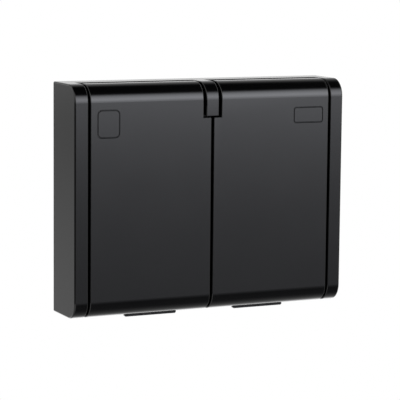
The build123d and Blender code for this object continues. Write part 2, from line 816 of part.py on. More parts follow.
def make_terminal_screws(x):
    """Clamp screws of the two contacts and the earth terminal."""
    head_far = terminal_head_gap + terminal_head_height
    with BuildPart() as screws:
        for way in sides.values():
            near = x + way * (terminal_far + terminal_head_gap)
            far = x + way * (terminal_far + head_far)
            rod(terminal_head_radius, (near, far), terminal_screw_y, 0)
            rod(terminal_screw_radius, (x + way * wire_x, near), terminal_screw_y, 0)
        near = -earth_far - terminal_head_gap
        post(terminal_head_radius, x, terminal_screw_y, (-earth_far - head_far, near))
        post(terminal_screw_radius, x, terminal_screw_y, (near, -earth_terminal_place))
    return screws


save(make_cover_frame(), "cover_frame")
save(make_mounting_plate(), "mounting_plate")
save(make_wall_gasket(), "wall_gasket")
save(
    make_screws(
        cover_screws,
        cover_head_y,
        cover_head_radius,
        cover_head_height,
        cover_screw_radius,
        cover_screw_length,
    ),
    "cover_screws",
)
save(
    make_screws(
        ear_places(*well_axes),
        ear_front_y,
        insert_head_radius,
        insert_head_height,
        insert_screw_radius,
        insert_screw_length,
    ),
    "insert_screws",
)

for name, side in sides.items():
    socket_x = side * socket_pitch / 2
    seal_back_y = lid_back_y + seal_thickness
    seal_inner = seal_middle - seal_width / 2
    save(make_lid(side), f"{name}_lid")
    seal = make_ring(socket_x, seal_back_y, seal_thickness, seal_inner, seal_inner + seal_width)
    save(seal, f"{name}_lid_seal")
    save(make_hinge_pin(side), f"{name}_hinge_pin")
    save(make_lid_spring(side), f"{name}_lid_spring")
    save(make_socket_insert(socket_x), f"{name}_socket_insert")
    gasket = make_ring(
        socket_x, well_flange_y, well_gasket_thickness, well_hole, well_flange_radius
    )
    save(gasket, f"{name}_well_gasket")
    save(make_shutter(socket_x), f"{name}_shutter")
    save(make_shutter_spring(socket_x), f"{name}_shutter_spring")
    save(make_contact_base(socket_x), f"{name}_contact_base")
    save(make_terminal_cover(socket_x), f"{name}_terminal_cover")
    save(make_contact(socket_x, -1), f"{name}_live_contact")
    save(make_contact(socket_x, 1), f"{name}_neutral_contact")
    save(make_earth_clip(socket_x), f"{name}_earth_clip")
    save(make_earth_terminal(socket_x), f"{name}_earth_terminal")
    save(make_terminal_screws(socket_x), f"{name}_terminal_screws")
    centre_screw = make_screws(
        [(socket_x, 0)],
        centre_seat_y,
        centre_head_radius,
        centre_head_height,
        centre_screw_radius,
        centre_screw_length,
    )
    save(centre_screw, f"{name}_centre_screw")
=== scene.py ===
"""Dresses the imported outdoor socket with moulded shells, screws, springs, seals and finishes."""

import json
from math import cos, pi, radians, sin
from typing import NamedTuple

import bmesh
import bpy
from bpy.props import FloatProperty, FloatVectorProperty, IntProperty, PointerProperty
from mathutils import Matrix, Vector


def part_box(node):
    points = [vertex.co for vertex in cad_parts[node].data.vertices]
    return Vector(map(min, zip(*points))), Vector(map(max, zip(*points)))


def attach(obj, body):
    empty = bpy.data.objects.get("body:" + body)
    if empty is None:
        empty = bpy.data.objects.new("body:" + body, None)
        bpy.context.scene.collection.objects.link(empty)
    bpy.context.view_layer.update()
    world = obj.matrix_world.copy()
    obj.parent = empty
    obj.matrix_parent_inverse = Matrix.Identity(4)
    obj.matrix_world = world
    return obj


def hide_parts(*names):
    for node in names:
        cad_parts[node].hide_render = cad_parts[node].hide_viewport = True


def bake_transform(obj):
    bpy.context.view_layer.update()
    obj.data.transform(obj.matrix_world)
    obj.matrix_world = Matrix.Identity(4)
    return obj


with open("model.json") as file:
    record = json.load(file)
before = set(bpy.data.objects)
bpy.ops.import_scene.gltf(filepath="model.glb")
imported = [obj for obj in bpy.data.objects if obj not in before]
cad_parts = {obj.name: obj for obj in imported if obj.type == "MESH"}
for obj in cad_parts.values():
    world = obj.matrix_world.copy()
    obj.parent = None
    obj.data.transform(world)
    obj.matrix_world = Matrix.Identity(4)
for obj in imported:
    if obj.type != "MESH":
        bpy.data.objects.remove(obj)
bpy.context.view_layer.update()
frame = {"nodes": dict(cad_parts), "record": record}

bl_info = {
    "name": "Outdoor socket",
    "version": (1, 0, 0),
    "blender": (4, 5, 0),
    "location": "View3D > Sidebar > Socket",
    "description": "Dresses a two-gang outdoor socket and sets its studio",
    "category": "Object",
}

SIDES = ("left", "right")
BODY_OF = {
    node: body
    for body, nodes in frame["record"]["behaviour"]["bodies"].items()
    for node in nodes
}


def length(name, description, default):
    """A size in metres that a user may change."""
    return FloatProperty(
        name=name, description=description, default=default, unit="LENGTH", precision=5
    )


def colour(name, description, default):
    """A colour that a user may change."""
    return FloatVectorProperty(
        name=name, description=description, default=default, subtype="COLOR", size=3, min=0, max=1
    )


def share(name, description, default):
    """A value from 0 to 1 that a user may change."""
    return FloatProperty(
        name=name, description=description, default=default, subtype="FACTOR", min=0, max=1
    )


class SocketFinish(bpy.types.PropertyGroup):
    """Colours and surface of the materials."""

    cover_black: colour(
        "Cover black", "Satin plastic of the cover and lids", (0.0012, 0.0012, 0.0013)
    )
    well_black: colour("Well black", "Plastic of the plug wells", (0.006, 0.006, 0.0065))
    plate_grey: colour("Plate grey", "Plastic of the mounting plate", (0.11, 0.11, 0.115))
    base_cream: colour("Base cream", "Insulating plastic of the contact bases", (0.6, 0.57, 0.5))
    shutter_grey: colour("Shutter grey", "Plastic of the shutters", (0.32, 0.32, 0.33))
    seal_black: colour("Seal black", "Rubber of the seals", (0.018, 0.018, 0.018))
    bright_steel: colour("Steel", "Plated steel of screws and springs", (0.5, 0.495, 0.48))
    # The hinge pins are bright steel; their dark colour here is painted shade, standing for the
    # shade in the gaps between the lids and the cover
    dark_steel: colour("Dark steel", "Blackened steel of the hinge pins", (0.05, 0.05, 0.052))
    bright_brass: colour("Brass", "Brass of contacts and terminals", (0.72, 0.5, 0.2))
    cover_roughness: share("Cover roughness", "Roughness of the cover and lids", 0.14)
    cover_shine: share("Cover shine", "How strongly the cover mirrors", 0.43)
    lid_shine: share("Lid shine", "How strongly the lids mirror", 0.50)
    grain_size: length("Grain size", "Width of the grain on cover, lids and wells", 0.0003)
    grain_depth: length("Grain depth", "Depth of the grain on cover, lids and wells", 0.000002)


class SocketDetail(bpy.types.PropertyGroup):
    """Sizes of the details that the solids leave out."""

    edge_break: length("Edge break", "Rounding of moulded edges", 0.0002)
    metal_break: length("Metal edge break", "Rounding of metal and gasket edges", 0.00012)
    field_depth: length("Field depth", "Depth of the groove round a lid's plain field", 0.00045)
    field_line: length("Field line", "Width of the groove round a lid's plain field", 0.0007)
    cross_width: length("Cross width", "Width of a cover screw's cross recess", 0.0009)
    cross_depth: length("Cross depth", "Depth of a cover screw's cross recess", 0.0011)
    thread_pitch: length("Thread pitch", "Pitch of the screw threads", 0.0008)
    thread_depth: length("Thread depth", "Depth of the screw threads", 0.00022)
    coil_turns: IntProperty(
        name="Coil turns", description="Turns of a lid spring", default=5, min=2
    )
    seal_width: length("Seal width", "Width of a lid seal's section", 0.0030)
    lip_round: length("Lip rounding", "Height of the round on the lid seals' lips", 0.0009)


class SocketStage(bpy.types.PropertyGroup):
    """Camera and floor."""

    camera_place: FloatVectorProperty(
        name="Camera place",
        description="Where the camera stands",
        default=(-0.4230, -0.9199, 0.1296),
        subtype="TRANSLATION",
        unit="LENGTH",
        precision=4,
    )
    camera_target: FloatVectorProperty(
        name="Camera target",
        description="The point in the middle of the view",
        default=(0.00010, -0.01468, -0.00318),
        subtype="TRANSLATION",
        unit="LENGTH",
        precision=5,
    )
    camera_roll: FloatProperty(
        name="Camera roll",
        description="Turn about the view axis",
        default=radians(0.533),
        subtype="ANGLE",
    )
    camera_lens: FloatProperty(
        name="Lens", description="Focal length in millimetres", default=175.63, min=1
    )
    floor_drop: length("Floor drop", "How far the floor lies below the wall screws", 1.20)
    floor_radius: length("Floor radius", "Radius of the round floor", 0.90)


# Meshes

# Points nearer than this are one, and faces flatter than this are joined
SAME_POINT = 1e-6
FLAT_ANGLE = radians(0.3)

# Angles from which edges are rounded, and from which they stay sharp in the shading
ROUNDED_FROM = radians(35)
LID_ROUNDED_FROM = radians(70)
SHARP_FROM = radians(35)
SEAL_SHARP_FROM = radians(50)
SCREW_SHARP_FROM = radians(40)

# Steps across a broken edge, and round a field's corner, a seal and its lip
BREAK_STEPS = 2
CORNER_STEPS = 6
RING_STEPS = 96
LIP_STEPS = 8


def midway(low, high):
    """The middle of two values."""
    return (low + high) / 2


def mesh_of(form, name):
    """The mesh of a finished bmesh, which is freed."""
    mesh = bpy.data.meshes.new(name)
    form.to_mesh(mesh)
    form.free()
    return mesh


def cad_mesh(node):
    """A merged copy of a node's mesh, with flat triangles joined into whole faces."""
    form = bmesh.new()
    form.from_mesh(frame["nodes"][node].data)
    bmesh.ops.remove_doubles(form, verts=form.verts, dist=SAME_POINT)
    bmesh.ops.dissolve_limit(form, angle_limit=FLAT_ANGLE, verts=form.verts, edges=form.edges)
    mesh = mesh_of(form, node)
    if "custom_normal" in mesh.attributes:
        mesh.attributes.remove(mesh.attributes["custom_normal"])
    return mesh


def linked(name, mesh):
    """A new object at the origin for a mesh."""
    piece = bpy.data.objects.new(name, mesh)
    bpy.context.scene.collection.objects.link(piece)
    return piece


def bake(piece):
    """Turn a piece's modifiers into its plain mesh."""
    graph = bpy.context.evaluated_depsgraph_get()
    mesh = bpy.data.meshes.new_from_object(piece.evaluated_get(graph))
    piece.modifiers.clear()
    old = piece.data
    piece.data = mesh
    bpy.data.meshes.remove(old)
    mesh.name = piece.name


def cut_away(piece, cutter):
    """Cut one closed mesh out of another."""
    cut = piece.modifiers.new("cut", "BOOLEAN")
    cut.operation = "DIFFERENCE"
    cut.solver = "EXACT"
    cut.object = cutter
    bake(piece)
    mesh = cutter.data
    bpy.data.objects.remove(cutter)
    bpy.data.meshes.remove(mesh)


def shade(piece, sharp_from):
    """Shade curved faces smooth and keep edges above an angle sharp."""
    piece.data.shade_smooth()
    piece.data.set_sharp_from_angle(angle=sharp_from)
    piece.data.update()


def soften(piece, edge_break, rounded_from=ROUNDED_FROM):
    """Round the sharp edges a little and shade the curved faces smooth."""
    bevel = piece.modifiers.new("edge_break", "BEVEL")
    bevel.width = edge_break
    bevel.segments = BREAK_STEPS
    bevel.limit_method = "ANGLE"
    bevel.angle_limit = rounded_from
    bevel.use_clamp_overlap = True
    bake(piece)
    shade(piece, SHARP_FROM)
    weighted = piece.modifiers.new("weighted", "WEIGHTED_NORMAL")
    weighted.keep_sharp = True
    bake(piece)


def coat(piece, finish):
    """Give a piece one finish."""
    piece.data.materials.clear()
    piece.data.materials.append(bpy.data.materials[finish])


def place(piece, node, finish):
    """Let a finished piece stand for a node: give it its finish, put it on the node's body and hide
    the node.
    """
    coat(piece, finish)
    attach(piece, BODY_OF[node])
    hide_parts(node)


def mould(node, edge_break, finish):
    """Stand a softened copy of a node in for it."""
    piece = linked(f"{node}_shell", cad_mesh(node))
    soften(piece, edge_break)
    place(piece, node, finish)


def rounded_loop(middle, size, radius):
    """Points (x, z) round a rectangle with rounded corners."""
    points = []
    for turn, (way_x, way_z) in enumerate(((1, 1), (-1, 1), (-1, -1), (1, -1))):
        corner_x = middle[0] + way_x * (size[0] / 2 - radius)
        corner_z = middle[1] + way_z * (size[1] / 2 - radius)
        for step in range(CORNER_STEPS + 1):
            angle = (turn + step / CORNER_STEPS) * pi / 2
            points.append((corner_x + radius * cos(angle), corner_z + radius * sin(angle)))
    return points


def closed_rows(name, rows):
    """A closed mesh through rows of points, where each row, and the rows together, are loops."""
    form = bmesh.new()
    made = [[form.verts.new(point) for point in row] for row in rows]
    for near, far in zip(made, made[1:] + made[:1]):
        for index in range(len(near)):
            after = (index + 1) % len(near)
            form.faces.new((near[index], near[after], far[after], far[index]))
    bmesh.ops.recalc_face_normals(form, faces=form.faces)
    return linked(name, mesh_of(form, name))


# Nodes


def plug(tree, value, socket):
    """Link a socket to an input, or set the input to a plain value."""
    if isinstance(value, bpy.types.NodeSocket):
        tree.links.new(value, socket)
    else:
        socket.default_value = value


def fed(tree, kind, settings=None, **inputs):
    """A new node with its settings, and inputs given as values or sockets."""
    node = tree.nodes.new(kind)
    for key, value in (settings or {}).items():
        setattr(node, key, value)
    for key, value in inputs.items():
        label = key.replace("_", " ")
        sockets = [item for item in node.inputs if item.name == label and item.enabled]
        if not sockets:
            raise KeyError(f"{kind} has no input {label}")
        plug(tree, value, sockets[0])
    return node


def reckon(tree, operation, first, second=0.0):
    """A Math node of two values or sockets; returns its output."""
    node = fed(tree, "ShaderNodeMath", {"operation": operation})
    for socket, value in zip(node.inputs, (first, second)):
        plug(tree, value, socket)
    return node.outputs[0]


def mixed(tree, factor, first, second):
    """Two colours, given as values or sockets, mixed by a factor; returns the colour output."""
    node = fed(tree, "ShaderNodeMix", {"data_type": "RGBA"}, Factor=factor)
    ends = [socket for socket in node.inputs if socket.type == "RGBA"]
    for socket, end in zip(ends, (first, second)):
        plug(tree, end if isinstance(end, bpy.types.NodeSocket) else (*end, 1), socket)
    return [socket for socket in node.outputs if socket.type == "RGBA"][0]


def new_tree(kind, name, inputs, outputs):
    """A new node tree with named sockets of given kinds; returns it with its two end nodes."""
    tree = bpy.data.node_groups.new(name, kind)
    for way, sockets in (("INPUT", inputs), ("OUTPUT", outputs)):
        for label, socket in sockets.items():
            tree.interface.new_socket(label, in_out=way, socket_type=f"NodeSocket{socket}")
    return tree, tree.nodes.new("NodeGroupInput"), tree.nodes.new("NodeGroupOutput")


# Finishes

# What the shared groups put out: a height for the bump and a mask for colour and gloss
SURFACE = {"Height": "Float", "Mask": "Float"}

# Width of the cloudy patches on moulded faces, and how many lines and patches a metre of metal has
PATCH_SIZE = 0.03
LINES_PER_METRE = (4000, 4000, 150)
METAL_PATCHES = 180.0

# The part of a mask's range that the gloss follows, how far colour and roughness drift, on the
# satin finishes too, and the shine of the others
MASK_LOW, MASK_HIGH = 0.3, 0.7
TONE_SPREAD = 0.08
GLOSS_DRIFT = 0.03
SATIN_DRIFT = 0.008
PLAIN_SHINE = 0.5

# Roughness of the other finishes, with the width and depth of a moulded grain or drawn lines
WELL_ROUGHNESS = 0.34
MOULDED = {
    "plate_grey": (0.5, 0.0004, 1e-5),
    "base_cream": (0.45, 0.0004, 8e-6),
    "shutter_grey": (0.42, 0.0003, 5e-6),
    "seal_black": (0.68, 0.0002, 1.2e-5),
}
METALS = {"bright_steel": 0.38, "dark_steel": 0.4, "bright_brass": 0.3}
LINE_DEPTH = 4e-6


def make_grain_group():
    """Fine moulded grain, with cloudy patches as its mask."""
    group, source, result = new_tree(
        "ShaderNodeTree", "moulded_grain",
        {"Place": "Vector", "Size": "Float", "Patch": "Float"}, SURFACE)
    where = source.outputs["Place"]
    fine = fed(group, "ShaderNodeTexNoise", Vector=where, Detail=2.0, Roughness=0.6,
               Scale=reckon(group, "DIVIDE", 1.0, source.outputs["Size"]))
    broad = fed(group, "ShaderNodeTexNoise", Vector=where, Detail=3.0,
                Scale=reckon(group, "DIVIDE", 1.0, source.outputs["Patch"]))
    group.links.new(fine.outputs[0], result.inputs["Height"])
    group.links.new(broad.outputs[0], result.inputs["Mask"])
    return group


def make_drawn_group():
    """Fine drawn lines, with cloudy patches as their mask."""
    group, source, result = new_tree(
        "ShaderNodeTree", "drawn_lines",
        {"Place": "Vector", "Lines": "Vector", "Patches": "Float"}, SURFACE)
    where = source.outputs["Place"]
    scaled = fed(group, "ShaderNodeVectorMath", {"operation": "MULTIPLY"})
    group.links.new(where, scaled.inputs[0])
    group.links.new(source.outputs["Lines"], scaled.inputs[1])
    lines = fed(group, "ShaderNodeTexNoise", Vector=scaled.outputs[0], Scale=1.0, Detail=3.0)
    broad = fed(group, "ShaderNodeTexNoise", Vector=where, Scale=source.outputs["Patches"])
    group.links.new(lines.outputs[0], result.inputs["Height"])
    group.links.new(broad.outputs[0], result.inputs["Mask"])
    return group


def make_finish(name, group, values, base, roughness, depth, drift=GLOSS_DRIFT, shine=PLAIN_SHINE,
                metallic=0.0):
    """One material: colour and gloss that drift with a group's mask, and a bump from its height."""
    material = bpy.data.materials.new(name)
    material.use_nodes = True
    tree = material.node_tree
    surface = fed(tree, "ShaderNodeGroup", {"node_tree": group},
                  Place=fed(tree, "ShaderNodeTexCoord").outputs["Object"], **values)
    mask = surface.outputs["Mask"]
    darker = [part * (1 - TONE_SPREAD) for part in base]
    lighter = [min(1, part * (1 + TONE_SPREAD)) for part in base]
    gloss = fed(tree, "ShaderNodeMapRange", Value=mask, From_Min=MASK_LOW, From_Max=MASK_HIGH,
                To_Min=roughness - drift, To_Max=roughness + drift)
    bump = fed(tree, "ShaderNodeBump", Strength=1.0, Distance=depth,
               Height=surface.outputs["Height"])
    shader = tree.nodes["Principled BSDF"]
    for label, value in (
        ("Base Color", mixed(tree, mask, darker, lighter)),
        ("Roughness", gloss.outputs[0]),
        ("Normal", bump.outputs["Normal"]),
        ("Metallic", metallic),
        ("Specular IOR Level", shine),
    ):
        plug(tree, value, shader.inputs[label])


class SOCKET_OT_finishes(bpy.types.Operator):
    """Make the materials."""

    bl_idname = "socket.finishes"
    bl_label = "Finishes"

    def execute(self, context):
        """Build the shared groups once, then each material."""
        look = context.scene.socket_finish
        grain, drawn = make_grain_group(), make_drawn_group()
        fine = {"Size": look.grain_size, "Patch": PATCH_SIZE}
        for name, shine in (("cover_satin", look.cover_shine), ("lid_satin", look.lid_shine)):
            make_finish(name, grain, fine, look.cover_black, look.cover_roughness,
                        look.grain_depth, drift=SATIN_DRIFT, shine=shine)
        make_finish("well_black", grain, fine, look.well_black, WELL_ROUGHNESS, look.grain_depth)
        for name, (roughness, size, depth) in MOULDED.items():
            values = {"Size": size, "Patch": PATCH_SIZE}
            make_finish(name, grain, values, getattr(look, name), roughness, depth)
        for name, roughness in METALS.items():
            values = {"Lines": LINES_PER_METRE, "Patches": METAL_PATCHES}
            make_finish(name, drawn, values, getattr(look, name), roughness, LINE_DEPTH,
                        metallic=1.0)
        return {"FINISHED"}


# Moulded and pressed pieces


class PlainField(NamedTuple):
    """A plain field inside a groove on a lid: its middle, size and corner radius, in metres."""

    across: float
    below_top: float
    width: float
    height: float
    corner: float


FIELDS = {
    "left": PlainField(
        across=-0.057, below_top=0.0196, width=0.0116, height=0.0136, corner=0.0022
    ),
    "right": PlainField(
        across=0.05475, below_top=0.0181, width=0.0166, height=0.0078, corner=0.0012
    ),
}


def groove_cutter(field, top, front, line, sink):
    """Cutter for a groove round a field, narrower at its floor, which is sunk below the front."""
    rim, floor = line / 2, line / 8
    middle = (field.across, top - field.below_top)
    rows = []
    for beyond, y in ((rim, front - sink), (rim, front), (floor, front + sink),
                      (-floor, front + sink), (-rim, front), (-rim, front - sink)):
        size = (field.width + 2 * beyond, field.height + 2 * beyond)
        rows.append([(x, y, z) for x, z in rounded_loop(middle, size, field.corner + beyond)])
    return closed_rows("groove", rows)


class SOCKET_OT_cover(bpy.types.Operator):
    """Cover, mounting plate and wall seal with broken edges."""

    bl_idname = "socket.cover"
    bl_label = "Cover"

    def execute(self, context):
        """Soften the cover, the plate and its seal."""
        sizes = context.scene.socket_detail
        mould("cover_frame", sizes.edge_break, "cover_satin")
        mould("mounting_plate", sizes.edge_break, "plate_grey")
        mould("wall_gasket", sizes.edge_break, "seal_black")
        return {"FINISHED"}


class SOCKET_OT_lids(bpy.types.Operator):
    """Lids with a plain grooved field on each."""

    bl_idname = "socket.lids"
    bl_label = "Lids"

    def execute(self, context):
        """Cut the grooves into copies of the lids and soften them."""
        sizes = context.scene.socket_detail
        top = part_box("cover_frame")[1].z
        for side in SIDES:
            node = f"{side}_lid"
            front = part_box(node)[0].y
            piece = linked(f"{node}_shell", cad_mesh(node))
            cut_away(piece, groove_cutter(
                FIELDS[side], top, front, sizes.field_line, sizes.field_depth))
            soften(piece, sizes.edge_break, LID_ROUNDED_FROM)
            place(piece, node, "lid_satin")
        return {"FINISHED"}


def seal_ring(node, width, lip_round):
    """A lid seal turned about its own axis from a section with a rounded lip."""
    low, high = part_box(node)
    middle_x, middle_z = midway(low.x, high.x), midway(low.z, high.z)
    outer = (high.x - low.x) / 2
    inner = outer - width
    shoulder = high.y - lip_round
    section = [(inner, low.y), (inner, shoulder)]
    for step in range(1, LIP_STEPS):
        angle = pi - pi * step / LIP_STEPS
        section.append((
            midway(inner, outer) + (outer - inner) / 2 * cos(angle),
            shoulder + lip_round * sin(angle),
        ))
    section += [(outer, shoulder), (outer, low.y)]
    rows = []
    for step in range(RING_STEPS):
        angle = 2 * pi * step / RING_STEPS
        rows.append([
            (middle_x + radius * cos(angle), y, middle_z + radius * sin(angle))
            for radius, y in section
        ])
    return closed_rows(f"{node}_ring", rows)


class SOCKET_OT_seals(bpy.types.Operator):
    """Lid seals with rounded lips, and the gaskets of the wells."""

    bl_idname = "socket.seals"
    bl_label = "Seals"

    def execute(self, context):
        """Turn each lid seal and soften each gasket."""
        sizes = context.scene.socket_detail
        for side in SIDES:
            node = f"{side}_lid_seal"
            piece = seal_ring(node, sizes.seal_width, sizes.lip_round)
            shade(piece, SEAL_SHARP_FROM)
            place(piece, node, "seal_black")
            mould(f"{side}_well_gasket", sizes.metal_break, "seal_black")
        return {"FINISHED"}


class SOCKET_OT_wells(bpy.types.Operator):
    """Plug wells, shutters and the insulating bodies behind them."""

    bl_idname = "socket.wells"
    bl_label = "Wells"

    def execute(self, context):
        """Soften the moulded pieces round each plug."""
        sizes = context.scene.socket_detail
        plastic = {
            "socket_insert": "well_black",
            "shutter": "shutter_grey",
            "contact_base": "base_cream",
            "terminal_cover": "base_cream",
        }
        for side in SIDES:
            for name, finish in plastic.items():
                mould(f"{side}_{name}", sizes.edge_break, finish)
        return {"FINISHED"}


class SOCKET_OT_contacts(bpy.types.Operator):
    """Contacts, earth clips, terminals and hinge pins."""

    bl_idname = "socket.contacts"
    bl_label = "Contacts"

    def execute(self, context):
        """Break the edges of the metal pieces."""
        sizes = context.scene.socket_detail
        metal = {
            "live_contact": "bright_brass",
            "neutral_contact": "bright_brass",
            "earth_terminal": "bright_brass",
            "earth_clip": "bright_steel",
            # The hinge pins get a dark steel colour, which is painted shade for the gaps beside the
            # lids
            "hinge_pin": "dark_steel",
        }
        for side in SIDES:
            for name, finish in metal.items():
                mould(f"{side}_{name}", sizes.metal_break, finish)
        return {"FINISHED"}


# Screws and springs


def grow(piece, tree, values):
    """Run a Geometry Nodes tree on a piece with its named inputs, then keep the plain mesh."""
    growth = piece.modifiers.new("growth", "NODES")
    growth.node_group = tree
    for item in tree.interface.items_tree:
        if item.item_type == "SOCKET" and item.in_out == "INPUT" and item.name in values:
            growth[item.identifier] = values[item.name]
    bake(piece)


def end_tree(tree, result, geometry, material):
    """End a tree in plain geometry with its material."""
    whole = fed(tree, "GeometryNodeRealizeInstances", Geometry=geometry)
    dressed = fed(tree, "GeometryNodeSetMaterial", Geometry=whole.outputs[0], Material=material)
    tree.links.new(dressed.outputs[0], result.inputs[0])


class ScrewSize(NamedTuple):
    """Radius and height of a screw's head, radius and length of its shank, in metres."""

    head: float
    rise: float
    shank: float
    reach: float


COVER_SCREW = ScrewSize(head=0.0032, rise=0.0022, shank=0.0016, reach=0.016)
INSERT_SCREW = ScrewSize(head=0.0024, rise=0.0016, shank=0.0012, reach=0.0046)
CENTRE_SCREW = ScrewSize(head=0.003, rise=0.0018, shank=0.0015, reach=0.009)
TERMINAL_SCREW = ScrewSize(head=0.0022, rise=0.0018, shank=0.0013, reach=0.0037)
OUT_OF_WALL = (0, -1, 0)

# Vertices round the heads and shanks, and rows along them
HEAD_SIDES, HEAD_ROWS = 40, 6
SHANK_SIDES, SHANK_ROWS = 24, 44

# How far a head's rim is pulled in at the top, and the power of height that it follows
RIM_PULL, RIM_POWER = 0.16, 3.0

# Length of a recess's bars over the head's radius, and the points that merge after the cut
BAR_REACH = 1.15
CUT_MERGE = 2e-6


def drawn_in(tree, mesh, parts, shrink, lift):
    """Move a round mesh's points towards its axis and along it; returns the geometry."""
    moved = fed(tree, "ShaderNodeCombineXYZ", X=reckon(tree, "MULTIPLY", parts["X"], shrink),
                Y=reckon(tree, "MULTIPLY", parts["Y"], shrink),
                Z=reckon(tree, "ADD", parts["Z"], lift))
    shaped = fed(tree, "GeometryNodeSetPosition", Geometry=mesh, Position=moved.outputs[0])
    return shaped.outputs[0]


def screw_head(tree, value, parts):
    """A disc with its rim pulled in towards the top, less two crossed bars."""
    height, radius = value["Head height"], value["Head radius"]
    disc = fed(tree, "GeometryNodeMeshCylinder", {"fill_type": "NGON"}, Vertices=HEAD_SIDES,
               Side_Segments=HEAD_ROWS, Fill_Segments=HEAD_ROWS, Radius=radius, Depth=height)
    up = reckon(tree, "ADD", reckon(tree, "DIVIDE", parts["Z"], height), 0.5)
    pull = reckon(tree, "MULTIPLY", reckon(tree, "POWER", up, RIM_POWER), RIM_PULL)
    dome = drawn_in(tree, disc.outputs["Mesh"], parts, reckon(tree, "SUBTRACT", 1.0, pull),
                    reckon(tree, "DIVIDE", height, 2.0))
    bar_width = value["Cross width"]
    bar_length = reckon(tree, "MULTIPLY", radius, BAR_REACH)
    bar_depth = reckon(tree, "MULTIPLY", value["Cross depth"], 2.0)
    lift = fed(tree, "ShaderNodeCombineXYZ", Z=height)
    bars = fed(tree, "GeometryNodeJoinGeometry")
    for across, along in ((bar_length, bar_width), (bar_width, bar_length)):
        size = fed(tree, "ShaderNodeCombineXYZ", X=across, Y=along, Z=bar_depth)
        bar = fed(tree, "GeometryNodeMeshCube", Size=size.outputs[0])
        lifted = fed(tree, "GeometryNodeTransform", Geometry=bar.outputs["Mesh"],
                     Translation=lift.outputs[0])
        tree.links.new(lifted.outputs[0], bars.inputs[0])
    recess = fed(tree, "GeometryNodeMeshBoolean", {"operation": "DIFFERENCE", "solver": "MANIFOLD"})
    tree.links.new(dome, recess.inputs["Mesh 1"])
    tree.links.new(bars.outputs[0], recess.inputs["Mesh 2"])
    merged = fed(tree, "GeometryNodeMergeByDistance", Geometry=recess.outputs[0],
                 Distance=CUT_MERGE)
    return merged.outputs[0]


def screw_shank(tree, value, parts):
    """A rod whose surface rises and falls along a helix."""
    radius, reach = value["Shank radius"], value["Shank length"]
    rod = fed(tree, "GeometryNodeMeshCylinder", {"fill_type": "NGON"}, Vertices=SHANK_SIDES,
              Side_Segments=SHANK_ROWS, Fill_Segments=1, Radius=radius, Depth=reach)
    angle = reckon(tree, "DIVIDE", reckon(tree, "ARCTAN2", parts["Y"], parts["X"]), 2 * pi)
    phase = reckon(tree, "ADD", reckon(tree, "DIVIDE", parts["Z"], value["Thread pitch"]), angle)
    wave = reckon(tree, "MULTIPLY", reckon(tree, "PINGPONG", phase, 0.5), 2.0)
    sunk = reckon(tree, "MULTIPLY", wave, value["Thread depth"])
    shrink = reckon(tree, "SUBTRACT", 1.0, reckon(tree, "DIVIDE", sunk, radius))
    return drawn_in(tree, rod.outputs["Mesh"], parts, shrink, reckon(tree, "DIVIDE", reach, -2.0))


def make_screw_tree():
    """Screws on points: a domed head with a cross recess and a threaded shank along each facing."""
    tree, source, result = new_tree(
        "GeometryNodeTree", "cross_screws",
        {
            "Geometry": "Geometry",
            "Head radius": "Float",
            "Head height": "Float",
            "Shank radius": "Float",
            "Shank length": "Float",
            "Thread pitch": "Float",
            "Thread depth": "Float",
            "Cross width": "Float",
            "Cross depth": "Float",
            "Material": "Material",
        },
        {"Geometry": "Geometry"})
    value = source.outputs
    position = fed(tree, "GeometryNodeInputPosition").outputs[0]
    parts = fed(tree, "ShaderNodeSeparateXYZ", Vector=position).outputs
    screw = fed(tree, "GeometryNodeJoinGeometry")
    tree.links.new(screw_head(tree, value, parts), screw.inputs[0])
    tree.links.new(screw_shank(tree, value, parts), screw.inputs[0])
    facing = fed(tree, "GeometryNodeInputNamedAttribute", {"data_type": "FLOAT_VECTOR"},
                 Name="facing").outputs["Attribute"]
    turn = fed(tree, "FunctionNodeAlignRotationToVector", {"axis": "Z"}, Vector=facing)
    spread = fed(tree, "GeometryNodeInstanceOnPoints", Points=value["Geometry"],
                 Instance=screw.outputs[0], Rotation=turn.outputs[0])
    end_tree(tree, result, spread.outputs[0], value["Material"])
    return tree


def screw_seats():
    """For each node of screws their size, and where each head sits and which way it faces."""
    seats = {}
    low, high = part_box("cover_screws")
    head, depth = COVER_SCREW.head, low.y + COVER_SCREW.rise
    seats["cover_screws"] = (COVER_SCREW, [
        ((x, depth, z), OUT_OF_WALL)
        for x in (low.x + head, high.x - head)
        for z in (low.z + head, high.z - head)
    ])
    low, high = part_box("insert_screws")
    head, depth = INSERT_SCREW.head, low.y + INSERT_SCREW.rise
    ears = []
    for side in SIDES:
        well_low, well_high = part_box(f"{side}_socket_insert")
        well_x = midway(well_low.x, well_high.x)
        out = (high.x - head) - abs(well_x)
        ears += [(well_x + out, depth, high.z - head), (well_x - out, depth, low.z + head)]
    seats["insert_screws"] = (INSERT_SCREW, [(ear, OUT_OF_WALL) for ear in ears])
    for side in SIDES:
        node = f"{side}_centre_screw"
        low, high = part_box(node)
        centre = (midway(low.x, high.x), low.y + CENTRE_SCREW.rise, 0)
        seats[node] = (CENTRE_SCREW, [(centre, OUT_OF_WALL)])
        node = f"{side}_terminal_screws"
        low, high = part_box(node)
        rise, depth = TERMINAL_SCREW.rise, midway(low.y, high.y)
        seats[node] = (TERMINAL_SCREW, [
            ((low.x + rise, depth, 0), (-1, 0, 0)),
            ((high.x - rise, depth, 0), (1, 0, 0)),
            ((midway(low.x, high.x), depth, low.z + rise), (0, 0, -1)),
        ])
    return seats


def points_piece(name, places):
    """A mesh of loose points, each with the way that its screw's head faces."""
    mesh = bpy.data.meshes.new(name)
    mesh.from_pydata([point for point, _ in places], [], [])
    facing = mesh.attributes.new("facing", "FLOAT_VECTOR", "POINT")
    for index, (_, way) in enumerate(places):
        facing.data[index].vector = way
    return linked(name, mesh)


